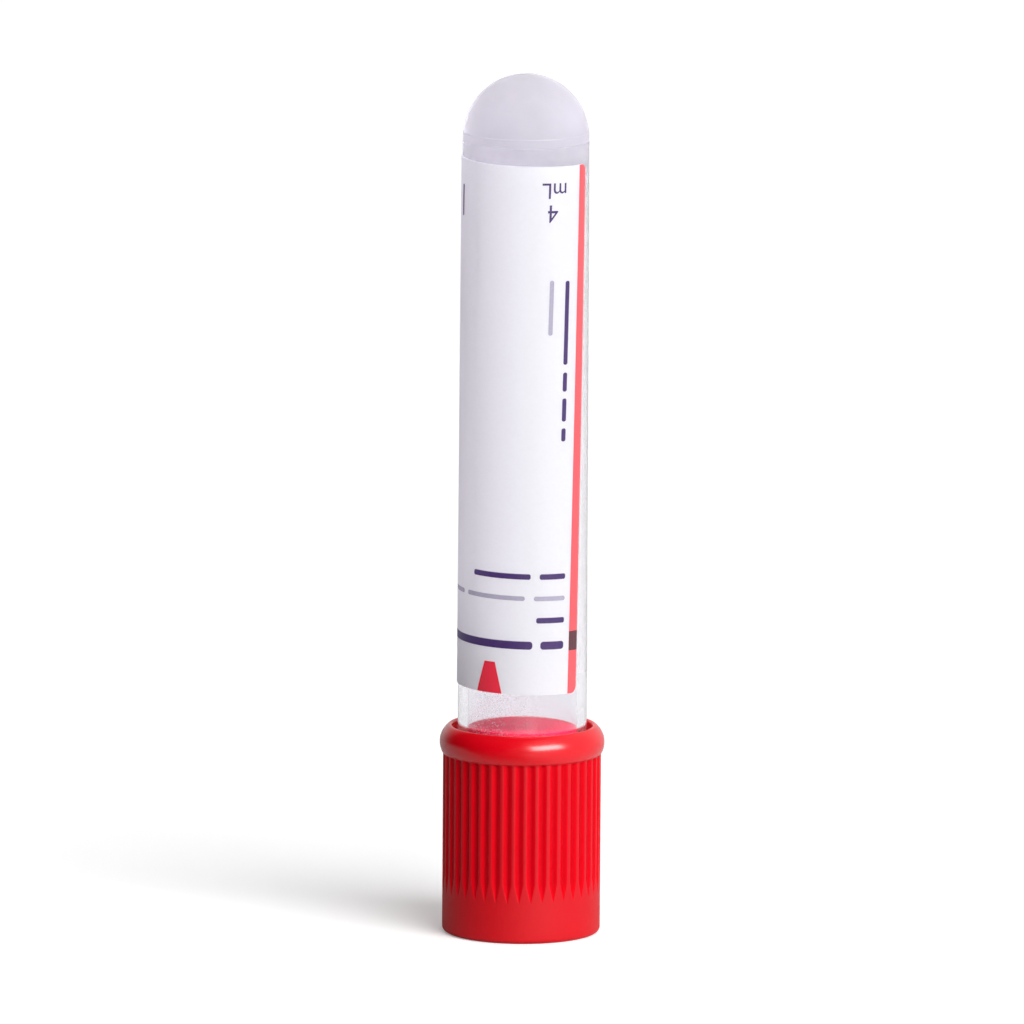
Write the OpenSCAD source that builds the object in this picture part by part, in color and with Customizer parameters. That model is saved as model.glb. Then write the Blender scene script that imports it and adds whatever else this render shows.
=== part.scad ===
// Evacuated blood collection tube for serum, 13 x 75 mm, with a red safety closure.
// It stands on the flat outer end of its closure, with the round end of the tube on top.
// z = 0 is the closure's outer end, +Z runs along the tube towards its round end,
// and the front of the label faces -Y.

/* [Tube] */
// Length of the tube, from its open rim to the crown of its round end
tube_length = 75; // [56:0.5:110]
// Outside diameter at the open rim
rim_d = 12.96; // [10.8:0.02:16.2]
// Amount by which the outside diameter shrinks from the rim to the round end
tube_taper = 0.38; // [0.1:0.02:0.6]
// Thickness of the tube's wall
wall = 1.0; // [0.7:0.05:1.3]
// Extra thickness at the crown, where the plastic was injected
crown_extra = 0.2; // [0:0.05:0.6]
// Distance from the start of the round end up to the mould's parting line
parting_rise = 0.45; // [0.1:0.05:1]
// Step in radius between the barrel and the round end, which shows at that line
parting_step = 0.03; // [0.01:0.01:0.08]
// Radius of the small flat at the middle of the round end, inside and out, where the gate was
gate_r = 0.4; // [0.2:0.05:1]
// Bevel on the outer edge of the rim
rim_bevel = 0.2; // [0.05:0.05:0.3]
// Width of the lead-in inside the rim
lead_in = 0.25; // [0.05:0.05:0.4]
// Length of the lead-in inside the rim
lead_in_h = 0.8; // [0.2:0.1:2]

/* [Label] */
// Distance from the rim to the label's lower edge
label_from_rim = 13.7; // [10:0.1:20]
// Distance from the label's upper edge to the start of the round end
label_from_dome = 1.9; // [0.6:0.1:6]
// Width of the clear window that the label leaves uncovered
window_width = 9; // [2:0.1:15]
// Direction of the label's right edge, counted from the front towards +X, in degrees
label_edge_angle = 60.4; // [0:0.2:180]
// Lean of the label on the tube, in degrees
label_lean = 1.6; // [0:0.1:2]
// Radius of the label's corners
label_corner = 0.75; // [0.2:0.05:2]
// Thickness of the label's paper
label_t = 0.1; // [0.05:0.01:0.2]
// Thickness of the adhesive film under the label
adhesive_t = 0.02; // [0.01:0.01:0.05]

/* [Stopper] */
// Depth that the plug reaches into the tube
plug_length = 9.46; // [6:0.02:14]
// Radial clearance between the plug and the tube's bore
plug_clearance = 0.03; // [0.01:0.01:0.1]
// Height of the flange that closes the tube's rim
flange_h = 5.1; // [3:0.1:7]
// Distance that the flange stands out past the tube's rim
flange_overhang = 0.12; // [0:0.02:0.3]
// Radius of the button that locks behind the shield's ledge
button_r = 5.0; // [4.2:0.05:5.2]
// Height of the button
button_h = 1.9; // [1:0.1:3]
// Radial clearance between the stopper's neck or button and the shield
stopper_clearance = 0.05; // [0.02:0.01:0.15]
// Radius of the needle well at its mouth
well_mouth_r = 2.6; // [1.5:0.1:3.2]
// Radius of the needle well at its floor
well_floor_r = 1.5; // [0.8:0.1:1.5]
// Depth of the needle well
well_depth = 10.2; // [4:0.2:12]
// Number of grooves between the plug's sealing lands
groove_count = 2; // [0:1:4]
// Depth of those grooves
groove_depth = 0.3; // [0.1:0.05:0.5]
// Height of those grooves
groove_h = 1.0; // [0.4:0.1:1.2]
// Bevel on the plug's inner end
plug_bevel = 0.15; // [0.05:0.05:0.4]

/* [Shield] */
// Distance that the stopper's face lies behind the shield's outer end
button_recess = 3.4; // [2:0.1:5]
// Radius of the opening that the needle goes through
port_r = 4.6; // [3.8:0.05:4.8]
// Width of the bevel round that opening
port_bevel = 0.5; // [0.2:0.1:1]
// Thickness of the shield's outer end
end_t = 1.3; // [0.8:0.1:1.8]
// Thickness of the ledge that the stopper grips
ledge_t = 1.2; // [0.8:0.1:2]
// Width of the ledge inside the button's pocket
ledge_w = 0.85; // [0.5:0.05:1.2]
// Wall of the collar that carries the ledge
collar_wall = 0.75; // [0.5:0.05:0.9]
// Gap between the tube's rim and the skirt's bore
skirt_gap = 0.52; // [0.35:0.02:0.8]
// Thickness of the skirt's wall at the crests of the flutes
skirt_wall = 0.9; // [0.7:0.02:1.4]
// Distance that the skirt reaches past the tube's rim
skirt_cover = 9.35; // [6:0.05:14]
// Rounding of the shield's outer bottom edge
heel_r = 0.5; // [0.2:0.05:0.8]

/* [Lip and flutes] */
// Distance that the rolled lip stands out past the skirt
lip_proud = 0.35; // [0.15:0.05:0.8]
// Radius of the lip's outer curve
lip_r = 2.15; // [1.7:0.05:2.6]
// Rounding of the lip's inner edge
lip_edge_r = 0.25; // [0.1:0.05:0.4]
// Number of flutes round the skirt
flute_count = 42; // [24:1:60]
// Depth of a flute
flute_depth = 0.235; // [0.1:0.005:0.3]
// Width of the flat land between two flutes
flute_land = 0.1; // [0.05:0.01:0.3]
// Height at which the flutes run out to a point
flute_tip_z = 4.0; // [2:0.1:6]
// Length of that pointed run-out
flute_runout = 2.05; // [1:0.05:4]

/* [Hidden] */
$fn = 180;
eps = 0.01;

// Levels along the axis, from the closure's outer end upwards
button_z = button_recess;
ledge_z = button_z + button_h;
flange_z = ledge_z + ledge_t;
rim_z = flange_z + flange_h;
plug_z = rim_z + plug_length;
closure_h = rim_z + skirt_cover;
top_z = rim_z + tube_length;

// The tube: a slim cone under a hemisphere
rim_r = rim_d / 2;
end_r = rim_r - tube_taper / 2;
dome_z = top_z - end_r;
bore_r = rim_r - wall;
bore_end_r = end_r - wall;
bore_dome_z = dome_z - crown_extra;

// Radius of the tube's outside and of its bore at a height
function tube_r(z) = rim_r - (rim_r - end_r) * (z - rim_z) / (dome_z - rim_z);
function tube_bore_r(z) = bore_r - (bore_r - bore_end_r) * (z - rim_z) / (bore_dome_z - rim_z);

// The stopper
plug_r = tube_bore_r(plug_z) - plug_clearance;
flange_r = rim_r + flange_overhang;

// The shield
pocket_r = button_r + stopper_clearance;
ledge_r = pocket_r - ledge_w;
neck_r = ledge_r - stopper_clearance;
collar_r = pocket_r + collar_wall;
skirt_bore_r = rim_r + skirt_gap;
skirt_r = skirt_bore_r + skirt_wall;

// The lip's outer curve is an arc, which a smaller one rounds off into the bore
lip_c = skirt_r + lip_proud - lip_r;
lip_edge_c = skirt_bore_r + lip_edge_r;
lip_edge_rise = sqrt(pow(lip_r - lip_edge_r, 2) - pow(lip_edge_c - lip_c, 2));
lip_edge_z = closure_h - lip_edge_r;
lip_z = lip_edge_z - lip_edge_rise;
lip_foot_z = lip_z - sqrt(lip_r * lip_r - pow(skirt_bore_r - lip_c, 2));

// A flute is a shallow groove with a round floor. Its half width runs from its floor to the land
flute_pitch = 360 / flute_count;
flute_half = flute_pitch / 2 - (flute_land / 2) / skirt_r * 180 / PI;
flute_half_w = skirt_r * sin(flute_half);
flute_sag = flute_depth - skirt_r * (1 - cos(flute_half));
flute_r = (pow(flute_half_w, 2) + pow(flute_sag, 2)) / (2 * flute_sag);
// Its floor rises to the skirt's surface in a few straight stretches, faster and faster
runout_steps = 3;
runout_start_slope = 0.2;
function runout_depth(t) = flute_depth * (runout_start_slope * t + (1 - runout_start_slope) * t * t);

// The label, laid out flat: a rectangle with round corners, leaning by label_lean
label_low = rim_z + label_from_rim;
label_high = dome_z - label_from_dome;
label_h = label_high - label_low;
label_mid = (label_low + label_high) / 2;
label_r = tube_r(label_mid) + adhesive_t;
label_w = 2 * PI * label_r - window_width;
label_cols = 90;
label_rows = 4;
corner_steps = 6;

// Places across the label: close together in the corners, and even between them
function corner_place(i) = label_corner * (1 - cos(90 * i / corner_steps));
label_across = concat(
    [for (i = [0 : corner_steps - 1]) corner_place(i)],
    [for (i = [0 : label_cols]) label_corner + (label_w - 2 * label_corner) * i / label_cols],
    [for (i = [corner_steps - 1 : -1 : 0]) label_w - corner_place(i)]
);
// How far the round corners pull in the label's edges at a place across it
function corner_pull(x) =
    let (d = max(label_corner - x, label_corner - (label_w - x), 0))
    label_corner - sqrt(max(pow(label_corner, 2) - d * d, 0));
// A point of the flat label, u to the right of its middle and v above it, put on the tube
function on_tube(u, v, lift) =
    let (
        across = u * cos(label_lean) + v * sin(label_lean),
        up = v * cos(label_lean) - u * sin(label_lean),
        z = label_mid + up,
        turn = label_edge_angle + (across - label_w / 2) / label_r * 180 / PI,
        r = tube_r(z) + lift
    )
    [r * sin(turn), -r * cos(turn), z];

// ---- Shield: one injection-moulded piece of polyethylene ----

// Cutter for one flute, turned about its own axis: a pointed run-out below, straight above
module flute_cutter() {
    tip_slope = runout_depth(1 / runout_steps) * runout_steps;
    rotate_extrude()
        polygon(concat(
            [
                [0, flute_tip_z - flute_runout],
                [flute_r - flute_depth - tip_slope, flute_tip_z - flute_runout]
            ],
            [for (i = [1 : runout_steps])
                [
                    flute_r - flute_depth + runout_depth(i / runout_steps),
                    flute_tip_z + flute_runout * i / runout_steps
                ]],
            [[flute_r, lip_z], [0, lip_z]]
        ));
}

// Outside of the shield below its lip, with the flutes that give it grip
module fluted_skirt() {
    difference() {
        rotate_extrude() {
            translate([0, heel_r]) square([skirt_r, lip_z - heel_r - eps]);
            square([skirt_r - heel_r, 2 * heel_r]);
            translate([skirt_r - heel_r, heel_r]) circle(heel_r);
        }
        for (i = [0 : flute_count - 1])
            rotate([0, 0, i * flute_pitch - 90])
                translate([skirt_r - flute_depth + flute_r, 0, 0])
                    flute_cutter();
    }
}

// Rolled lip round the skirt's mouth
module lip_profile() {
    edge_dir = [lip_edge_c - lip_c, lip_edge_rise] / (lip_r - lip_edge_r);
    intersection() {
        translate([lip_c, lip_z]) circle(lip_r);
        polygon([
            [lip_c, lip_z],
            [lip_c + 2 * lip_r * edge_dir[0], lip_z + 2 * lip_r * edge_dir[1]],
            [lip_c + 3 * lip_r, lip_z],
            [lip_c + 3 * lip_r, lip_foot_z],
            [lip_c, lip_foot_z]
        ]);
    }
    translate([lip_edge_c, lip_edge_z]) circle(lip_edge_r);
    translate([lip_c, lip_foot_z]) square([lip_edge_c - lip_c, lip_edge_z - lip_foot_z]);
}

module shield() {
    color([0.89, 0.07, 0.1])
    difference() {
        union() {
            fluted_skirt();
            rotate_extrude() lip_profile();
        }
        // Bore of the skirt, above the collar and its ledge
        translate([0, 0, flange_z]) cylinder(r = skirt_bore_r, h = closure_h);
        // Cored groove between the collar and the skirt
        translate([0, 0, end_t])
            difference() {
                cylinder(r = skirt_bore_r, h = flange_z - end_t + eps);
                translate([0, 0, -eps]) cylinder(r = collar_r, h = flange_z - end_t + 3 * eps);
            }
        // Pocket of the button, the ledge's hole and the needle port with its bevel
        translate([0, 0, button_z - stopper_clearance])
            cylinder(r = pocket_r, h = button_h + stopper_clearance);
        translate([0, 0, -eps]) cylinder(r = port_r, h = button_z);
        translate([0, 0, button_z]) cylinder(r = ledge_r, h = flange_h);
        translate([0, 0, -eps])
            cylinder(r1 = port_r + port_bevel + eps, r2 = port_r, h = port_bevel + eps);
    }
}

// ---- Stopper: one moulded piece of butyl rubber ----

module plug() {
    land_h = (plug_length - groove_count * groove_h) / (groove_count + 1);
    difference() {
        union() {
            translate([0, 0, rim_z - eps])
                cylinder(r = plug_r, h = plug_length - plug_bevel + eps);
            translate([0, 0, plug_z - plug_bevel])
                cylinder(r1 = plug_r, r2 = plug_r - plug_bevel, h = plug_bevel);
        }
        for (i = [1 : 1 : groove_count])
            translate([0, 0, rim_z + i * land_h + (i - 1) * groove_h])
                difference() {
                    cylinder(r = plug_r + 1, h = groove_h);
                    translate([0, 0, -eps]) cylinder(r = plug_r - groove_depth, h = groove_h + 2 * eps);
                }
    }
}

module stopper() {
    color([0.75, 0.1, 0.16])
    difference() {
        union() {
            translate([0, 0, button_z]) cylinder(r = button_r, h = button_h);
            translate([0, 0, button_z + eps]) cylinder(r = neck_r, h = flange_z - button_z);
            translate([0, 0, flange_z]) cylinder(r = flange_r, h = flange_h);
            plug();
        }
        translate([0, 0, button_z - eps])
            cylinder(r1 = well_mouth_r, r2 = well_floor_r, h = well_depth + eps);
    }
}

// ---- Tube: one injection-moulded piece of clear PET ----

// Section of the tube, from the axis outwards: a tapered barrel under half a ball, less its bore
module tube_profile() {
    difference() {
        union() {
            polygon([
                [0, rim_z],
                [rim_r - rim_bevel, rim_z],
                [tube_r(rim_z + rim_bevel), rim_z + rim_bevel],
                [end_r, dome_z],
                [end_r, dome_z + parting_rise],
                [0, dome_z + parting_rise]
            ]);
            quarter_ball(end_r - parting_step, dome_z);
        }
        polygon([
            [-eps, rim_z - eps],
            [bore_r + lead_in, rim_z - eps],
            [bore_r + lead_in, rim_z],
            [tube_bore_r(rim_z + lead_in_h), rim_z + lead_in_h],
            [bore_end_r, bore_dome_z],
            [-eps, bore_dome_z]
        ]);
        quarter_ball(bore_end_r, bore_dome_z);
    }
}

// Upper quarter of a circle on the axis, flat at the gate: turned, it is half a ball
module quarter_ball(r, z) {
    translate([0, z])
        intersection() {
            circle(r);
            translate([0, -eps]) square([2 * r, eps + sqrt(r * r - gate_r * gate_r)]);
        }
}

module tube() {
    color([0.86, 0.85, 0.9, 0.35]) rotate_extrude() tube_profile();
}

// ---- Label: one strip of white paper, stuck round the tube ----

module label() {
    n = len(label_across);
    rows = label_rows;
    ring = 2 * (rows + 1);
    // Each place across the label is a closed ring of points: up the inner face, down the outer one
    points = [
        for (x = label_across, k = [0 : ring - 1])
            let (
                inner = k <= rows,
                row = inner ? k : ring - 1 - k,
                half = label_h / 2 - corner_pull(x),
                v = half * (2 * row / rows - 1)
            )
            on_tube(x - label_w / 2, v, adhesive_t + (inner ? 0 : label_t))
    ];
    sides = [
        for (c = [0 : n - 2], k = [0 : ring - 1])
            let (a = c * ring + k, b = c * ring + (k + 1) % ring)
            each [[a, b, b + ring], [a, b + ring, a + ring]]
    ];
    ends = [
        for (k = [0 : rows - 1])
            let (a = k, b = k + 1, c = ring - 2 - k, d = ring - 1 - k, last = (n - 1) * ring)
            each [[a, c, b], [a, d, c], [last + a, last + b, last + c], [last + a, last + c, last + d]]
    ];
    color([0.97, 0.97, 0.98]) polyhedron(points, concat(sides, ends));
}

shield();
stopper();
tube();
label();
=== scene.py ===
# An evacuated blood collection tube for serum, 13 mm across and 75 mm long, standing on its red
# closure with the round end up. All lengths below are in millimetres, turned to metres by mm.
import math

import bmesh
import bpy
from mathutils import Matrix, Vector


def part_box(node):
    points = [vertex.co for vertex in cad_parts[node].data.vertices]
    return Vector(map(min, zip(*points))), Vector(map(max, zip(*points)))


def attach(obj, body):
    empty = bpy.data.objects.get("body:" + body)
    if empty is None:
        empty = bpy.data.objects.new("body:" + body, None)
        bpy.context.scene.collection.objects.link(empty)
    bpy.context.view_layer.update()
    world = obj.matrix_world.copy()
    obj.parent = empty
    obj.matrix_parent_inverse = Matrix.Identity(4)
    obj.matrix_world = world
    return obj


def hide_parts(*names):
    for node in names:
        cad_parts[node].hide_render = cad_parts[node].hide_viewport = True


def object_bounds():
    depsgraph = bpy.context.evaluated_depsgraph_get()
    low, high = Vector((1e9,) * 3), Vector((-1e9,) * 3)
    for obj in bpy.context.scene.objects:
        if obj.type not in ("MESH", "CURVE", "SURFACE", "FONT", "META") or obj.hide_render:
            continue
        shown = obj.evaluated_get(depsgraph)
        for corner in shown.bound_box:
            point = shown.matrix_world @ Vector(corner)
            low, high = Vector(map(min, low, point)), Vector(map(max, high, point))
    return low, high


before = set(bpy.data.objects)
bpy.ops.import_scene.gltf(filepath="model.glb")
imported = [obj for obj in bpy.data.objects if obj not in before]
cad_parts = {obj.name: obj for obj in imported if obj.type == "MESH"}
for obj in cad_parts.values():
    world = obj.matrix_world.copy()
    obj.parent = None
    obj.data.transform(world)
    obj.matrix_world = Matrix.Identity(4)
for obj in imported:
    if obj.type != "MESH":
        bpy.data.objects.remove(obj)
cad_low, cad_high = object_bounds()
mm = 0.001

# ---- Camera ----
# A long lens on a tripod, a little above the tube's middle and square to the front of its label.
# It is turned by a hair, so that the tube leans to the right.
camera_lens = 633
camera_sensor = 36
camera_distance = 1796
camera_elevation = math.radians(9.5)
camera_turn = math.radians(0.38)
aim_left, aim_below_middle = 1.16, 0.86
aim = Vector((-aim_left * mm, 0, (cad_low.z + cad_high.z) / 2 - aim_below_middle * mm))
away = Vector((0, -math.cos(camera_elevation), math.sin(camera_elevation)))
bpy.ops.object.camera_add(location=aim + away * camera_distance * mm)
camera = bpy.context.object
camera.name = "camera"
camera.rotation_mode = "ZYX"
camera.rotation_euler = (math.pi / 2 - camera_elevation, 0, camera_turn)
camera.data.lens = camera_lens
camera.data.sensor_width = camera_sensor
bpy.context.scene.camera = camera
bpy.context.scene.view_settings.view_transform = "Standard"


# ---- Studio ----
# A white sweep under a broad, soft key lamp at the front right. Fills at the right and the front
# light the shaded parts, a wide box at the right makes the glints, and a strip grazes the left side.
# The room is bright behind and at the right, and dark at the left. For bounce light the floor carries painted
# shade at the left. For reflections it carries a painted pool of light near the front and at the right.
def new_material(name):
    """An empty node material, its node tree and its output."""
    material = bpy.data.materials.new(name)
    material.use_nodes = True
    material.node_tree.nodes.clear()
    return material, material.node_tree, material.node_tree.nodes.new("ShaderNodeOutputMaterial")


def add(tree, kind, values=(), links=(), **settings):
    """A node of that kind, with plain values for some sockets and links to others."""
    node = tree.nodes.new("ShaderNode" + kind)
    for name, value in settings.items():
        setattr(node, name, value)
    for socket, value in dict(values).items():
        node.inputs[socket].default_value = value
    for socket, source in dict(links).items():
        tree.links.new(source, node.inputs[socket])
    return node


def ramp(tree, source, start, end, low=0.0, high=1.0, kind="LINEAR"):
    """Goes from low to high while the source goes from start to end."""
    values = {"From Min": start, "From Max": end, "To Min": low, "To Max": high}
    return add(tree, "MapRange", values, {"Value": source}, interpolation_type=kind).outputs[0]


def ease(tree, source, start, end, low=0.0, high=1.0):
    """A ramp that starts and ends gently."""
    return ramp(tree, source, start, end, low, high, kind="SMOOTHSTEP")


def combine(tree, operation, first, second):
    """The sum, the product or the greater of two values."""
    return add(tree, "Math", links={0: first, 1: second}, operation=operation).outputs[0]


def choose(tree, factor, first, second):
    """The first value where the factor is 0 and the second where it is 1."""
    sockets = {"A": first, "B": second}
    plain = {name: value for name, value in sockets.items() if isinstance(value, float)}
    linked = {name: value for name, value in sockets.items() if name not in plain}
    return add(tree, "Mix", plain, {"Factor": factor, **linked}, data_type="FLOAT").outputs[0]


def mixed(tree, factor, first, second):
    """Two shaders mixed, by a plain share or by a linked one."""
    links = {1: first, 2: second}
    if isinstance(factor, float):
        return add(tree, "MixShader", {0: factor}, links).outputs[0]
    return add(tree, "MixShader", links={0: factor, **links}).outputs[0]


floor_reach = 3.0
bpy.ops.object.select_all(action="DESELECT")
bpy.ops.mesh.primitive_circle_add(vertices=96, radius=floor_reach, fill_type="NGON", location=(0, 0, cad_low.z))
floor = bpy.context.object
floor.name = "floor"
bpy.ops.object.transform_apply(location=True, rotation=False, scale=False)
floor_paper, tree, out = new_material("floor_paper")
path = add(tree, "LightPath").outputs
place = add(tree, "TexCoord").outputs["Object"]
axes = add(tree, "SeparateXYZ", links={0: place}).outputs
seen = combine(tree, "MAXIMUM", path["Is Camera Ray"], path["Is Transmission Ray"])
# Painted light on the floor, seen only in reflections and bounce light: a pool of light near the front and at
# the right, and painted shade at the left.
painted_light_front = ease(tree, axes["Y"], -5 * mm, -50 * mm, 0.6, 0.02)
painted_light_right = ease(tree, axes["X"], -10 * mm, 30 * mm, 0.0, 0.75)
mirrored = combine(tree, "MAXIMUM", painted_light_front, painted_light_right)
painted_bounce_shade = ease(tree, axes["X"], -20 * mm, 15 * mm, 0.36, 0.98)
albedo = choose(tree, path["Is Glossy Ray"], painted_bounce_shade, mirrored)
lit = add(tree, "BsdfDiffuse", links={"Color": albedo}).outputs[0]
sheet_paper = add(tree, "BsdfDiffuse", {"Color": (0.93, 0.93, 0.93, 1)}).outputs[0]
backlight = add(tree, "Emission", {"Color": (1, 1, 1, 1), "Strength": 0.26}).outputs[0]
shown = add(tree, "AddShader", links={0: sheet_paper, 1: backlight}).outputs[0]
tree.links.new(mixed(tree, seen, lit, shown), out.inputs["Surface"])
floor.data.materials.append(floor_paper)


def softbox(name, side, height, distance, width, tall, power, glossy=False):
    """An area lamp in metres and watts that faces the aim, turned to the side by so many degrees."""
    turn, rise = math.radians(side), math.radians(height)
    towards = Vector((math.sin(turn) * math.cos(rise), -math.cos(turn) * math.cos(rise), math.sin(rise)))
    bpy.ops.object.light_add(type="AREA", location=aim + towards * distance)
    lamp = bpy.context.object
    lamp.name = name
    lamp.rotation_mode = "QUATERNION"
    lamp.rotation_quaternion = towards.to_track_quat("Z", "Y")
    lamp.data.shape = "RECTANGLE"
    lamp.data.size = width
    lamp.data.size_y = tall
    lamp.data.energy = power
    lamp.visible_glossy = glossy
    lamp.visible_camera = False
    return lamp


key_side, key_rise = math.radians(36), math.radians(47)
key_from = Vector((math.sin(key_side), -math.cos(key_side), math.tan(key_rise)))
bpy.ops.object.light_add(type="SUN", location=aim + key_from)
key = bpy.context.object
key.name = "key_lamp"
key.rotation_mode = "QUATERNION"
key.rotation_quaternion = key_from.to_track_quat("Z", "Y")
key.data.angle = math.radians(42)
key.data.energy = 2.1
key.visible_glossy = False

softbox("right_fill", side=44, height=27, distance=1.1, width=0.5, tall=0.3, power=3.0)
sheen = softbox("sheen_softbox", side=38, height=27, distance=1.1, width=0.85, tall=0.4, power=14, glossy=True)
sheen.visible_diffuse = False
sheen.visible_transmission = False
softbox("front_fill", side=8, height=6, distance=0.6, width=0.5, tall=0.5, power=0.85)
strip = softbox("side_strip", side=-80, height=0, distance=0.16, width=0.05, tall=0.09, power=0.0061)
strip_lift = 32
strip.location.z += strip_lift * mm
strip.data.color = (1.0, 0.92, 1.0)
strip.data.spread = math.radians(8)
strip.visible_transmission = False

world = bpy.data.worlds.new("studio")
bpy.context.scene.world = world
world.use_nodes = True
tree = world.node_tree
tree.nodes.clear()
path = add(tree, "LightPath").outputs
direction = add(tree, "TexCoord").outputs["Generated"]
axes = add(tree, "SeparateXYZ", links={0: direction}).outputs
from_left = ease(tree, axes["X"], -0.7, 0.8, 0.04, 0.3)
behind = ease(tree, axes["Y"], 0.5, 0.95, 0.0, 0.7)
above = ease(tree, axes["Z"], 0.5, 0.85, 0.0, 0.25)
room = combine(tree, "ADD", combine(tree, "ADD", from_left, behind), above)
bright_side = ease(tree, axes["X"], 0.0, 0.6)
bright_back = ease(tree, axes["Y"], 0.5, 0.95)
mirrored = combine(tree, "MAXIMUM", bright_side, bright_back)
around = choose(tree, path["Is Glossy Ray"], room, mirrored)
around = choose(tree, path["Is Transmission Ray"], around, 0.95)
around = choose(tree, path["Is Camera Ray"], around, 1.0)
sky = add(tree, "Background", links={"Strength": around}).outputs[0]
tree.links.new(sky, add(tree, "OutputWorld").inputs["Surface"])


# ---- Tube ----
# Injection-moulded PET, clear with a lavender cast, a slim cone closed by half a ball.
# The mould parts in a fine ridge where the ball begins, and the gate leaves a flat at the crown.
tube_low, tube_high = (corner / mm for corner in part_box("tube"))
rim_z, crown_z = tube_low.z, tube_high.z
tube_taper = 0.38
tube_wall = 1.0
crown_wall = 1.17
gate_r = 0.4
parting_rise, parting_step = 0.45, 0.03
rim_edge = 0.2
barrel_rows = (60, 40, 25)
bore_flat = 0.015
dust_top = 26.5
tube_rim_r = tube_high.x
tube_end_r = tube_rim_r - tube_taper / 2
ball_r = tube_end_r - parting_step
ball_z = crown_z - math.sqrt(ball_r ** 2 - gate_r ** 2)
ridge_z = ball_z + parting_rise
bore_rim_r = tube_rim_r - tube_wall
bore_end_r = tube_end_r - tube_wall
bore_ball_z = crown_z - crown_wall - bore_end_r + bore_flat


def tube_r(z):
    """The barrel's outer radius at a height."""
    return tube_rim_r + (tube_end_r - tube_rim_r) * (z - rim_z) / (ball_z - rim_z)


def bore_r(z):
    """The bore's radius at a height."""
    return bore_rim_r + (bore_end_r - bore_rim_r) * (z - rim_z) / (bore_ball_z - rim_z)


def arc(r, z, radius, start, end, steps):
    """Points of an arc about (r, z), from one angle to another in degrees, 0 outwards and 90 up."""
    turns = [math.radians(start + (end - start) * i / steps) for i in range(steps + 1)]
    return [(r + radius * math.cos(t), z + radius * math.sin(t)) for t in turns]


def rounded(corners, step=12):
    """An outline of (radius, height, rounding) corners, with each rounding as a short arc.
    Its first and last corners stay sharp."""
    points = []
    for i, (r, z, rounding) in enumerate(corners):
        if not rounding:
            points.append((r, z))
            continue
        here = Vector((r, z))
        back = (Vector(corners[i - 1][:2]) - here).normalized()
        on = (Vector(corners[i + 1][:2]) - here).normalized()
        half = back.angle(on) / 2
        centre = here + (back + on).normalized() * rounding / math.sin(half)
        first = here + back * rounding / math.tan(half) - centre
        last = here + on * rounding / math.tan(half) - centre
        steps = max(2, math.ceil((math.pi - 2 * half) / math.radians(step)))
        for k in range(steps + 1):
            points.append(tuple(centre + first.slerp(last, k / steps).normalized() * rounding))
    return points


def turned(name, outline, steps, angle=2 * math.pi):
    """The outline, drawn from point to point by extruding, and turned about the tube's axis.
    Where it ends on its first point, its two ends are merged before it turns."""
    bpy.ops.object.select_all(action="DESELECT")
    bpy.ops.mesh.primitive_plane_add(size=mm)
    piece = bpy.context.object
    piece.name = name
    bpy.ops.object.mode_set(mode="EDIT")
    bpy.ops.mesh.merge(type="CENTER")
    bpy.ops.transform.translate(value=(outline[0][0] * mm, 0, outline[0][1] * mm))
    for (r, z), (r_next, z_next) in zip(outline, outline[1:]):
        step = ((r_next - r) * mm, 0, (z_next - z) * mm)
        bpy.ops.mesh.extrude_region_move(TRANSFORM_OT_translate={"value": step})
    bpy.ops.mesh.select_all(action="SELECT")
    if outline[0] == outline[-1]:
        bpy.ops.mesh.remove_doubles(threshold=1e-7)
    bpy.ops.mesh.spin(steps=steps, angle=angle, center=(0, 0, 0), axis=(0, 0, 1))
    bpy.ops.mesh.select_all(action="SELECT")
    bpy.ops.mesh.remove_doubles(threshold=1e-7)
    bpy.ops.mesh.normals_make_consistent(inside=False)
    bpy.ops.object.mode_set(mode="OBJECT")
    return piece


def activate(piece):
    """Makes the piece the only selected one."""
    bpy.ops.object.select_all(action="DESELECT")
    piece.select_set(True)
    bpy.context.view_layer.objects.active = piece


def smooth(piece, degrees=40):
    """Smooth shading, with sharp edges where two faces meet at more than so many degrees."""
    activate(piece)
    bpy.ops.object.shade_smooth_by_angle(angle=math.radians(degrees))


gate_angle = math.degrees(math.asin(gate_r / ball_r))
outside = [(0, crown_z)] + arc(0, ball_z, ball_r, 90 - gate_angle, 5.5, 40)
outside += rounded([
    (*outside[-1], 0), (ball_r - 0.02, ridge_z + 0.06, 0.1), (tube_end_r - 0.002, ridge_z - 0.02, 0.1),
    (tube_end_r, ridge_z - 0.42, 0),
])[1:]
outside += [(tube_r(z), z) for z in barrel_rows]
outside += [(tube_r(rim_z + rim_edge), rim_z + rim_edge)]
outside += arc(tube_r(rim_z + rim_edge) - rim_edge, rim_z + rim_edge, rim_edge, 0, -90, 5)
lead_in = [(bore_rim_r + 0.25, rim_z), (bore_rim_r + 0.1, rim_z + 0.4)]
inside = lead_in + [(bore_r(z), z) for z in (rim_z + 0.8, dust_top, 40, 60)]
inside += arc(0, bore_ball_z, bore_end_r, 0, 86, 40) + [(0, bore_ball_z + bore_end_r - bore_flat)]
tube = turned("tube_wall", outside + inside, steps=256)
smooth(tube)


def between(tree, factor, first, second):
    """A colour between two, each given as red, green and blue."""
    values = {"A": (*first, 1), "B": (*second, 1)}
    return add(tree, "Mix", values, {"Factor": factor}, data_type="RGBA").outputs["Result"]


def noise(tree, place, scale, detail, **more):
    """Cloudy noise from 0 to 1, with so many repeats to the metre."""
    values = {"Scale": scale, "Detail": detail, **more}
    return add(tree, "TexNoise", values, {"Vector": place}).outputs["Fac"]


def relief(tree, height, strength, depth):
    """The surface's normal, roughened by a height."""
    values = {"Strength": strength, "Distance": depth * mm}
    return add(tree, "Bump", values, {"Height": height}).outputs[0]


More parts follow.
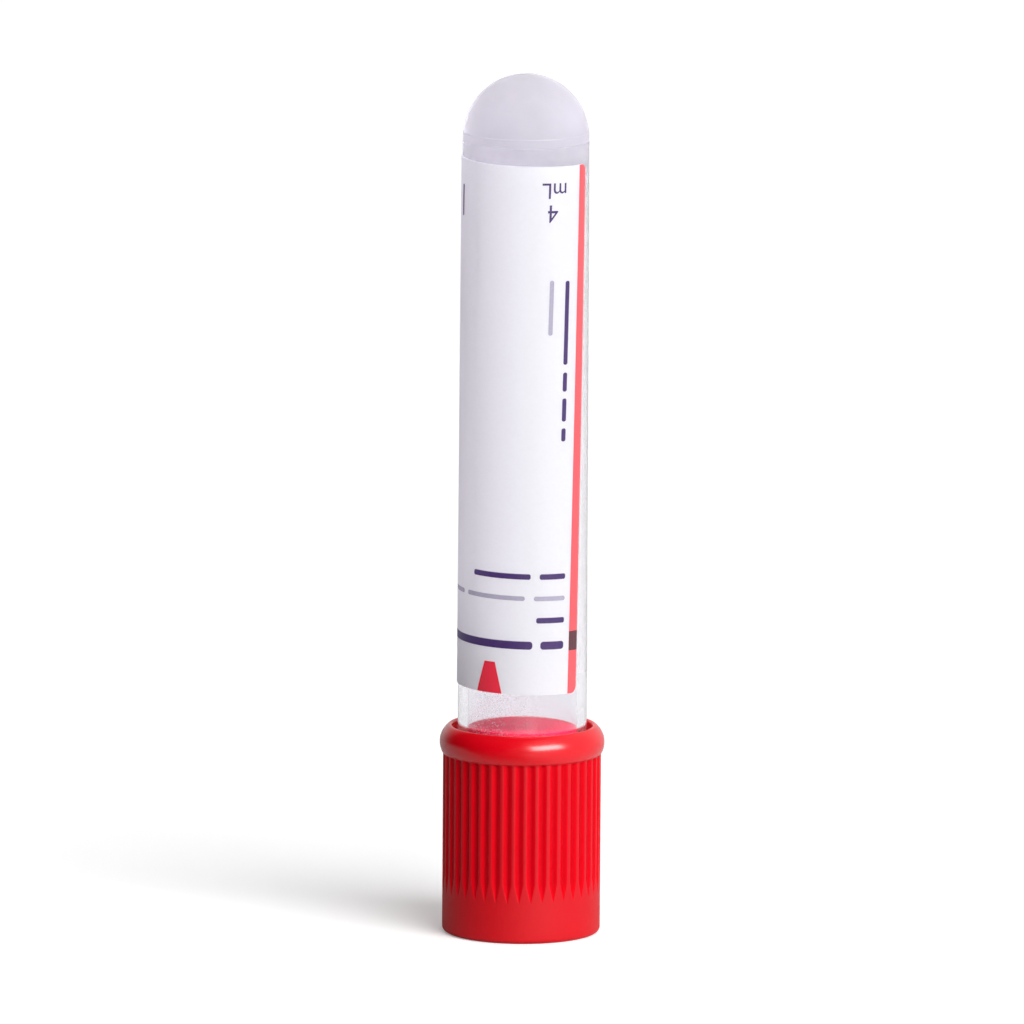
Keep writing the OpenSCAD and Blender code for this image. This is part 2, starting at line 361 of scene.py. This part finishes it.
def dust_share(tree, axes, place, clouds):
    """How much of the bore the specks cover: most at the low left, and less all round."""
    grains = add(tree, "TexVoronoi", {"Scale": 5200.0, "Randomness": 1.0}, {"Vector": place}).outputs["Distance"]
    left = ramp(tree, axes["X"], 4 * mm, -3.5 * mm, 0.03, 1.0)
    low = ramp(tree, axes["Z"], (rim_z + 15) * mm, (rim_z + 10) * mm, 0.5, 1.0)
    off_edge = ramp(tree, axes["X"], -5.3 * mm, -4.3 * mm)
    reach = combine(tree, "MULTIPLY", combine(tree, "MULTIPLY", left, low), off_edge)
    patchy = combine(tree, "MULTIPLY", reach, clouds)
    return combine(tree, "MULTIPLY", ramp(tree, grains, 0.5, 0.2, 0.0, 0.72), patchy)


def clear_plastic(name, film, dome_film, specks=False, bend=1.57, end_roughness=0.8):
    """Clear PET under a milky film, which covers one share of the barrel and another of the dome.
    It lets light through to what stands behind it, which spares the noise of refracted shadows."""
    pet, tree, out = new_material(name)
    place = add(tree, "TexCoord").outputs["Object"]
    axes = add(tree, "SeparateXYZ", links={0: place}).outputs
    flow = add(tree, "Mapping", {"Scale": (160, 160, 28)}, {"Vector": place}).outputs[0]
    ripple = relief(tree, noise(tree, flow, 1.0, 2.0), 0.05, 0.02)
    satin = ease(tree, axes["Z"], (ball_z - 2) * mm, (ball_z + 0.5) * mm, 0.06, end_roughness)
    clear = add(
        tree, "BsdfPrincipled",
        {"Base Color": (0.88, 0.868, 0.905, 1), "IOR": bend, "Transmission Weight": 1.0},
        {"Roughness": satin, "Normal": ripple},
    ).outputs[0]
    clouds = noise(tree, place, 300.0, 3.0)
    rise = ease(tree, axes["Z"], (ball_z - 8) * mm, (ball_z - 1) * mm)
    uneven = ramp(tree, clouds, 0.3, 0.7, 0.86, 1.14)
    share = combine(tree, "MULTIPLY", choose(tree, rise, film, dome_film), uneven)
    if specks:
        share = combine(tree, "MAXIMUM", share, dust_share(tree, axes, place, clouds))
    shade = between(tree, rise, (0.94, 0.92, 0.96), (0.62, 0.607, 0.645))
    dust = add(tree, "BsdfDiffuse", links={"Color": shade}).outputs[0]
    glow = add(tree, "BsdfTranslucent", links={"Color": shade}).outputs[0]
    filmed = mixed(tree, share, clear, mixed(tree, 0.55, dust, glow))
    lets_light = add(tree, "BsdfTransparent", {"Color": (0.92, 0.91, 0.94, 1)}).outputs[0]
    shadow = add(tree, "LightPath").outputs["Is Shadow Ray"]
    tree.links.new(mixed(tree, shadow, filmed, lets_light), out.inputs["Surface"])
    return pet


for pet in (
    clear_plastic("clear_pet", film=0.0, dome_film=0.45, end_roughness=0.36),
    clear_plastic("hazy_bore", film=0.05, dome_film=0.55),
    clear_plastic("dusted_bore", film=0.02, dome_film=0.65, specks=True),
    clear_plastic("satin_dome", film=0.3, dome_film=0.6, bend=1.2),
):
    tube.data.materials.append(pet)
on_dome = ridge_z + 0.1
for face in tube.data.polygons:
    middle = face.center / mm
    looks_in = face.normal.xy.dot(middle.xy) < 0
    under_crown = middle.xy.length < bore_end_r and middle.z < crown_z - crown_wall / 2 and face.normal.z < 0
    if looks_in or under_crown:
        face.material_index = 2 if rim_z + 1 < middle.z < dust_top else 1
    elif middle.z > on_dome:
        face.material_index = 3
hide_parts("tube")
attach(tube, "tube")


# ---- Label ----
# A strip of smooth white coated paper, cut with round corners and stuck round the tube with a
# slight lean. A clear window stays open between its two edges, at the back right.
label_low, label_high = 25.3, 78.41
label_window = 9.0
label_lean = math.radians(1.6)
label_edge = math.radians(60.4)
label_corner = 0.75
label_glue, label_paper_t = 0.02, 0.1
label_mid = (label_low + label_high) / 2
label_tall = label_high - label_low
label_r = tube_r(label_mid) + label_glue
label_wide = 2 * math.pi * label_r - label_window
label_turn = label_edge - label_wide / 2 / label_r
half_w, half_h = label_wide / 2, label_tall / 2


def pick(piece, test):
    """Selects the vertices that pass the test, in edit mode, and what lies between them."""
    bpy.ops.mesh.select_mode(type="VERT")
    mesh = bmesh.from_edit_mesh(piece.data)
    for vertex in mesh.verts:
        vertex.select_set(test(vertex.co))
    mesh.select_flush_mode()
    bmesh.update_edit_mesh(piece.data)


def apply_modifier(piece, kind, **settings):
    """Adds a modifier to the piece and applies it."""
    activate(piece)
    modifier = piece.modifiers.new(kind.lower(), kind)
    for name, value in settings.items():
        setattr(modifier, name, value)
    bpy.ops.object.modifier_apply(modifier=modifier.name)


def corners_of(left, right, low, high):
    """The four corners of a rectangle."""
    return [(x, z) for x in (left, right) for z in (low, high)]


def sheet(name, left, right, low, high, corners=(), rounding=label_corner):
    """A flat rectangle in the XZ plane, measured from the label's middle, with some round corners."""
    bpy.ops.object.select_all(action="DESELECT")
    bpy.ops.mesh.primitive_plane_add(size=1, rotation=(math.pi / 2, 0, 0))
    piece = bpy.context.object
    piece.name = name
    piece.scale = ((right - left) * mm, (high - low) * mm, 1)
    piece.location = ((left + right) / 2 * mm, 0, (low + high) / 2 * mm)
    bpy.ops.object.transform_apply(location=True, rotation=True, scale=True)
    if corners:
        bpy.ops.object.mode_set(mode="EDIT")
        pick(piece, lambda co: any((co - Vector((x * mm, 0, z * mm))).length < 1e-6 for x, z in corners))
        bpy.ops.mesh.bevel(offset=rounding * mm, segments=8, affect="VERTICES")
        bpy.ops.object.mode_set(mode="OBJECT")
    return piece


def extent(piece, axis):
    """The least and the greatest place of the piece's vertices along one axis, in edit mode."""
    places = [vertex.co[axis] for vertex in bmesh.from_edit_mesh(piece.data).verts]
    return min(places), max(places)


def wrap(piece, lift, thick):
    """Cuts a flat piece into columns and rows, leans it, bends it round the tube and thickens it."""
    column, row = 0.3, 4.0
    activate(piece)
    bpy.ops.object.mode_set(mode="EDIT")
    cuts = [(extent(piece, 0), column, (1, 0, 0)), (extent(piece, 2), row, (0, 0, 1))]
    for (low, high), step, normal in cuts:
        for i in range(math.ceil(low / mm / step), math.floor(high / mm / step) + 1):
            middle = [i * step * mm * n for n in normal]
            bpy.ops.mesh.select_all(action="SELECT")
            bpy.ops.mesh.bisect(plane_co=middle, plane_no=normal, threshold=1e-7)
    bpy.ops.mesh.select_all(action="SELECT")
    bpy.ops.transform.rotate(value=-label_lean, orient_axis="Y", center_override=(0, 0, 0))
    bpy.ops.transform.translate(value=(label_turn * label_r * mm, 0, label_mid * mm))
    left, right = extent(piece, 0)
    bpy.ops.object.mode_set(mode="OBJECT")
    bend = (right - left) / (label_r * mm)
    apply_modifier(piece, "SIMPLE_DEFORM", deform_method="BEND", deform_axis="Z", angle=bend)
    bpy.ops.object.mode_set(mode="EDIT")
    bpy.ops.mesh.select_all(action="SELECT")
    bpy.ops.transform.translate(value=(0, -label_r * mm, 0))
    bpy.ops.object.mode_set(mode="OBJECT")
    apply_modifier(
        piece, "SHRINKWRAP", target=tube, wrap_method="NEAREST_SURFACEPOINT",
        wrap_mode="ABOVE_SURFACE", offset=lift * mm,
    )
    apply_modifier(piece, "SOLIDIFY", thickness=thick * mm, offset=1)


label = sheet("label_strip", -half_w, half_w, -half_h, half_h, corners_of(-half_w, half_w, -half_h, half_h))
wrap(label, label_glue, label_paper_t)
smooth(label)
paper, tree, out = new_material("coated_paper")
fibres = noise(tree, add(tree, "TexCoord").outputs["Object"], 2600.0, 4.0)
tint = between(tree, fibres, (0.905, 0.9, 0.94), (0.95, 0.945, 0.98))
grain = relief(tree, fibres, 0.15, 0.01)
surface = {"Roughness": 0.5, "IOR": 1.45}
coated = add(tree, "BsdfPrincipled", surface, {"Base Color": tint, "Normal": grain}).outputs[0]
glow = add(tree, "BsdfTranslucent", links={"Color": tint, "Normal": grain}).outputs[0]
tree.links.new(mixed(tree, 0.35, coated, glow), out.inputs["Surface"])
label.data.materials.append(paper)
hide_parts("label")
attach(label, "tube")


# ---- Print ----
# Films of ink on the label, read with the closure on top: a colour band with a dark mark down the
# right edge, a red wedge, the volume in numerals, and plain bars for the lines of wording.
ink_lift = label_glue + label_paper_t - 0.004
ink_t = 0.012
over_ink = 0.008
band_w = 1.2
wedge_near, wedge_far, wedge_h, wedge_tip = 8.05, 10.85, 3.15, 0.41


def printed(name, ink, parts, lift=ink_lift):
    """Joins flat pieces of one colour and lays them on the label as one film."""
    bpy.ops.object.select_all(action="DESELECT")
    for part in parts:
        part.select_set(True)
    bpy.context.view_layer.objects.active = parts[0]
    if len(parts) > 1:
        bpy.ops.object.join()
    film = bpy.context.object
    film.name = name
    wrap(film, lift, ink_t)
    film.data.materials.append(ink)
    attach(film, "tube")


def ink_colour(name, thin, full):
    """Ink that lies a little unevenly on the paper."""
    ink, tree, out = new_material(name)
    spread = noise(tree, add(tree, "TexCoord").outputs["Object"], 3500.0, 2.0)
    surface = {"Roughness": 0.42, "IOR": 1.48}
    tint = between(tree, spread, thin, full)
    shader = add(tree, "BsdfPrincipled", surface, {"Base Color": tint}).outputs[0]
    tree.links.new(shader, out.inputs["Surface"])
    return ink


def bar(near, far, low, high, rounding=0.2):
    """A bar with round ends, placed from the label's right edge and from its lower edge."""
    place = half_w - far, half_w - near, low - half_h, high - half_h
    return sheet("bar", *place, corners_of(*place), rounding)


def numeral(text, near, far, low, high):
    """Numerals or letters that stand on their heads, filling the given room on the label."""
    bpy.ops.object.select_all(action="DESELECT")
    bpy.ops.object.text_add()
    piece = bpy.context.object
    piece.data.body = text
    piece.data.resolution_u = 4
    bpy.ops.object.convert(target="MESH")
    bpy.ops.object.mode_set(mode="EDIT")
    bpy.ops.mesh.select_all(action="SELECT")
    bpy.ops.mesh.remove_doubles(threshold=1e-5)
    (left, right), (bottom, top) = extent(piece, 0), extent(piece, 1)
    bpy.ops.object.mode_set(mode="OBJECT")
    wide, tall = (far - near) * mm / (right - left), (high - low) * mm / (top - bottom)
    piece.rotation_euler = (math.pi / 2, math.pi, 0)
    piece.scale = (wide, tall, 1)
    piece.location = ((half_w - near) * mm + left * wide, 0, (high - half_h) * mm + bottom * tall)
    bpy.ops.object.transform_apply(location=True, rotation=True, scale=True)
    return piece


coral = ink_colour("coral_ink", (0.9, 0.11, 0.13), (0.95, 0.1, 0.12))
band = sheet("band", half_w - band_w, half_w, -half_h, half_h, [(half_w, -half_h), (half_w, half_h)])
printed("colour_band", coral, [band])

red = ink_colour("red_ink", (0.85, 0.03, 0.065), (0.92, 0.024, 0.055))
wedge = sheet("wedge", half_w - wedge_far, half_w - wedge_near, -half_h, wedge_h - half_h)
wedge_middle = (half_w - (wedge_near + wedge_far) / 2) * mm
bpy.ops.object.mode_set(mode="EDIT")
pick(wedge, lambda co: co.z > (wedge_h / 2 - half_h) * mm)
bpy.ops.transform.resize(value=(wedge_tip, 1, 1), center_override=(wedge_middle, 0, 0))
bpy.ops.object.mode_set(mode="OBJECT")
printed("red_wedge", red, [wedge])

maroon = ink_colour("maroon_ink", (0.13, 0.04, 0.05), (0.09, 0.03, 0.04))
mark = sheet("mark", half_w - band_w, half_w, 4.35 - half_h, 6.3 - half_h)
printed("band_mark", maroon, [mark], ink_lift + over_ink)

purple = ink_colour("purple_ink", (0.075, 0.035, 0.16), (0.045, 0.02, 0.12))
words = [numeral("mL", 3.1, 5.75, 49.9, 51.45), numeral("4", 4.0, 5.1, 47.5, 49.25)]
words += [bar(2.35, 2.85, low, high) for low, high in ((33.2, 41.6), (30.5, 32.4), (27.5, 29.8), (25.5, 26.8))]
words += [bar(near, far, 11.65, 12.2) for near, far in ((1.9, 4.7), (5.6, 11.7))]
words += [bar(1.9, 4.9, 7.25, 7.8)]
words += [bar(near, far, 4.6, 5.4, 0.3) for near, far in ((1.9, 4.4), (5.2, 16.4))]
words += [bar(15.3, 15.7, 47.3, 50.5)]
printed("dark_print", purple, words)

pale = ink_colour("pale_ink", (0.45, 0.42, 0.53), (0.36, 0.33, 0.45))
words = [bar(4.2, 4.65, 36.2, 41.7)]
words += [bar(near, far, 9.5, 9.95) for near, far in ((1.9, 5.2), (6.1, 12.6), (13.3, 16.2))]
printed("pale_print", pale, words)


# ---- Stopper ----
# Moulded butyl rubber, dusky red and matt. Its plug closes the tube, its flange covers the rim,
# and its button snaps behind the closure's ledge with the needle well in its middle.
stopper_low, stopper_high = (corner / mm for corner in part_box("stopper"))
button_z, plug_z = stopper_low.z, stopper_high.z
flange_r = stopper_high.x
well_mouth_r, well_floor_r, well_depth = 2.6, 1.5, 10.2
button_r, neck_r = 5.0, 4.15
ledge_z, flange_z = 5.3, 6.5
plug_r = 5.424
groove_depth, groove_width = 0.3, 1.0
groove_starts = (2.487, 5.973)
well_floor_z = button_z + well_depth
outline = [
    (0, well_floor_z, 0), (well_floor_r, well_floor_z, 0.4), (well_mouth_r, button_z, 0.25),
    (button_r, button_z, 0.25), (button_r, ledge_z, 0.15), (neck_r, ledge_z, 0.1), (neck_r, flange_z, 0.05),
    (flange_r, flange_z, 0.25), (flange_r, rim_z, 0.15), (plug_r, rim_z, 0.05),
]
for start in groove_starts:
    low, high = rim_z + start, rim_z + start + groove_width
    outline += [(plug_r, low, 0.1), (plug_r - groove_depth, low, 0.1)]
    outline += [(plug_r - groove_depth, high, 0.1), (plug_r, high, 0.1)]
outline += [(plug_r, plug_z, 0.15), (0, plug_z, 0)]
stopper = turned("stopper_rubber_body", rounded(outline), steps=192)
smooth(stopper)
rubber, tree, out = new_material("butyl_rubber")
place = add(tree, "TexCoord").outputs["Object"]
cloud = noise(tree, place, 700.0, 5.0, Roughness=0.65)
specks = ramp(tree, noise(tree, place, 4200.0, 2.0), 0.38, 0.62)
tint = between(tree, specks, (0.6, 0.009, 0.045), (0.86, 0.034, 0.1))
grain = relief(tree, cloud, 0.3, 0.03)
surface = {"Roughness": 0.7, "IOR": 1.5, "Specular IOR Level": 0.12}
shader = add(tree, "BsdfPrincipled", surface, {"Base Color": tint, "Normal": grain}).outputs[0]
tree.links.new(shader, out.inputs["Surface"])
stopper.data.materials.append(rubber)
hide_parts("stopper")
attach(stopper, "closure")


# ---- Shield ----
# Injection-moulded red polyethylene, satin, one piece: a skirt with 42 grip flutes that run out
# to points, a rolled lip, and inside it the collar whose ledge holds the stopper's button.
shield_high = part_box("shield")[1] / mm
skirt_r, skirt_bore_r = 7.9, 7.0
lip_r, lip_c, lip_z = 2.147, 6.1, 19.19
lip_edge_c, lip_edge_r = 7.25, 0.25
lip_edge_z = shield_high.z - lip_edge_r
lip_foot_z = lip_z - math.sqrt(lip_r ** 2 - (skirt_r - lip_c) ** 2)
port_r, port_bevel = 4.6, 0.5
pocket_r, pocket_z = 5.05, 3.35
ledge_r, collar_r = 4.2, 5.8
end_t, end_flat_r, foot_edge = 1.3, 6.5, 0.5
flute_count, flute_depth = 42, 0.21
flute_land = 0.1
flute_tip_z, flute_runout = 4.0, 2.05
flute_columns = 20
flute_shift = math.radians(1.7)
flute_pitch = 2 * math.pi / flute_count
flute_half = flute_pitch / 2 - flute_land / 2 / skirt_r

runout_rows = [flute_tip_z + flute_runout * i / 11 for i in range(12)]
skirt_rows = [1.6, 3.4] + runout_rows + [9, 14, 17]
lip_start = math.degrees(math.atan2(lip_foot_z - lip_z, skirt_r - lip_c))
lip_turn = math.degrees(math.atan2(lip_edge_z - lip_z, lip_edge_c - lip_c))
outline = rounded([
    (pocket_r, pocket_z, 0), (port_r, pocket_z, 0.1), (port_r, port_bevel, 0.12),
    (port_r + port_bevel, 0, 0.12), (end_flat_r, 0, 0),
], step=30)[1:-1]
outline += rounded([(end_flat_r, 0, 0), (skirt_r, 0, foot_edge), (skirt_r, foot_edge * 2, 0)])[1:]
outline += [(skirt_r, z) for z in skirt_rows]
outline += [(skirt_r, lip_foot_z)] + arc(lip_c, lip_z, lip_r, lip_start, lip_turn, 16)
outline += arc(lip_edge_c, lip_edge_z, lip_edge_r, lip_turn, 180, 7)[1:]
outline += rounded([
    (skirt_bore_r, lip_edge_z, 0), (skirt_bore_r, end_t, 0.3), (collar_r, end_t, 0.25),
    (collar_r, flange_z, 0.08), (ledge_r, flange_z, 0.12), (ledge_r, ledge_z, 0.08),
    (pocket_r, ledge_z, 0.08), (pocket_r, pocket_z, 0.1), (port_r, pocket_z, 0),
], step=30)[1:-1]
outline.append(outline[0])
shield = turned("shield_moulding", outline, steps=flute_columns, angle=flute_pitch)


def flute_place(column, z):
    """Where a column of one flute lies at a height: its turn from the crest, and how deep it is."""
    middle = flute_columns / 2
    inward = abs(column - middle)
    share = inward / (middle - 1)
    run = min(max((z - flute_tip_z) / flute_runout, 0), 1)
    if share > 1:
        return flute_pitch / 2 + math.copysign(flute_pitch / 2, column - middle), 0.0
    off = flute_half * run ** 0.85 * share
    depth = flute_depth * run * math.cos(math.pi / 2 * share) ** 2
    return flute_pitch / 2 + math.copysign(off, column - middle), depth


# Each run-out row is shaped for its own height, and the full flute above them in one move.
rows = [(z - 1e-3, z + 1e-3, z) for z in runout_rows]
rows.append((runout_rows[-1] + 0.05, lip_foot_z + 1e-3, runout_rows[-1]))
activate(shield)
bpy.ops.object.mode_set(mode="EDIT")
start_turn = min(math.atan2(v.co.y, v.co.x) for v in bmesh.from_edit_mesh(shield.data).verts)
on_wall = skirt_r * mm - 1e-6
for low, high, z in rows:
    for column in range(flute_columns + 1):

        def belongs(co):
            """Whether a vertex is on the skirt's wall, in this row and this column."""
            if math.hypot(co.x, co.y) < on_wall or not low * mm < co.z < high * mm:
                return False
            place = (math.atan2(co.y, co.x) - start_turn) / flute_pitch * flute_columns
            return abs(place - column) < 0.01

        pick(shield, belongs)
        turn, depth = flute_place(column, z)
        shift = turn - column / flute_columns * flute_pitch
        scale = (skirt_r - depth) / skirt_r
        bpy.ops.transform.rotate(value=-shift, orient_axis="Z", center_override=(0, 0, 0))
        bpy.ops.transform.resize(value=(scale, scale, 1), center_override=(0, 0, 0))
bpy.ops.mesh.select_all(action="SELECT")
bpy.ops.mesh.spin(
    steps=flute_count - 1, angle=flute_pitch * (flute_count - 1), dupli=True,
    center=(0, 0, 0), axis=(0, 0, 1),
)
bpy.ops.mesh.select_all(action="SELECT")
bpy.ops.mesh.remove_doubles(threshold=2e-7)
bpy.ops.mesh.normals_make_consistent(inside=False)
bpy.ops.transform.rotate(value=flute_shift, orient_axis="Z", center_override=(0, 0, 0))
bpy.ops.object.mode_set(mode="OBJECT")
smooth(shield, degrees=28)


def red_plastic(name, smoothest, roughest, skin_depth, shine, painted_brightness, painted_floor_shade):
    """Red polyethylene with a fine skin. Its red is scaled by a painted brightness, and darkened towards the
    flutes' floors as painted shade.
    """
    moulding, tree, out = new_material(name)
    place = add(tree, "TexCoord").outputs["Object"]
    skin = noise(tree, place, 2600.0, 3.0)
    tint = between(tree, noise(tree, place, 260.0, 3.0), (0.66, 0.0004, 0.007), (0.72, 0.0006, 0.009))
    flat = add(tree, "VectorMath", {1: (1, 1, 0)}, {0: place}, operation="MULTIPLY").outputs[0]
    reach = add(tree, "VectorMath", links={0: flat}, operation="LENGTH").outputs["Value"]
    # Painted shade: the red darkens towards the flutes' floors, where the grooves shade it.
    depth = ramp(tree, reach, (skirt_r - flute_depth) * mm, skirt_r * mm, painted_floor_shade, painted_brightness)
    shaded = add(tree, "VectorMath", links={0: tint, "Scale": depth}, operation="SCALE").outputs[0]
    satin = ramp(tree, skin, 0.0, 1.0, smoothest, roughest)
    shader = add(
        tree, "BsdfPrincipled",
        {"IOR": 1.5, "Specular IOR Level": shine},
        {"Base Color": shaded, "Roughness": satin, "Normal": relief(tree, skin, 0.4, skin_depth)},
    ).outputs[0]
    tree.links.new(shader, out.inputs["Surface"])
    return moulding


# As painted light, the flutes and the lip get brighter copies of the same red and the band a darker one.
for red in (
    red_plastic("satin_red", 0.42, 0.56, skin_depth=0.03, shine=0.3, painted_brightness=0.95, painted_floor_shade=0.95),
    red_plastic("flute_red", 0.2, 0.26, skin_depth=0.004, shine=0.06, painted_brightness=1.2, painted_floor_shade=0.888),
    red_plastic("lip_red", 0.2, 0.26, skin_depth=0.004, shine=0.6, painted_brightness=1.1, painted_floor_shade=1.1),
):
    shield.data.materials.append(red)
in_flutes = skirt_r - 0.02
on_lip = lip_foot_z + 0.2
for face in shield.data.polygons:
    reach_in = math.hypot(face.center.x, face.center.y) / mm
    height = face.center.z / mm
    if skirt_r - 0.4 < reach_in < in_flutes and flute_tip_z < height < lip_foot_z:
        face.material_index = 1
    elif height > on_lip:
        face.material_index = 2
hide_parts("shield")
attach(shield, "closure")
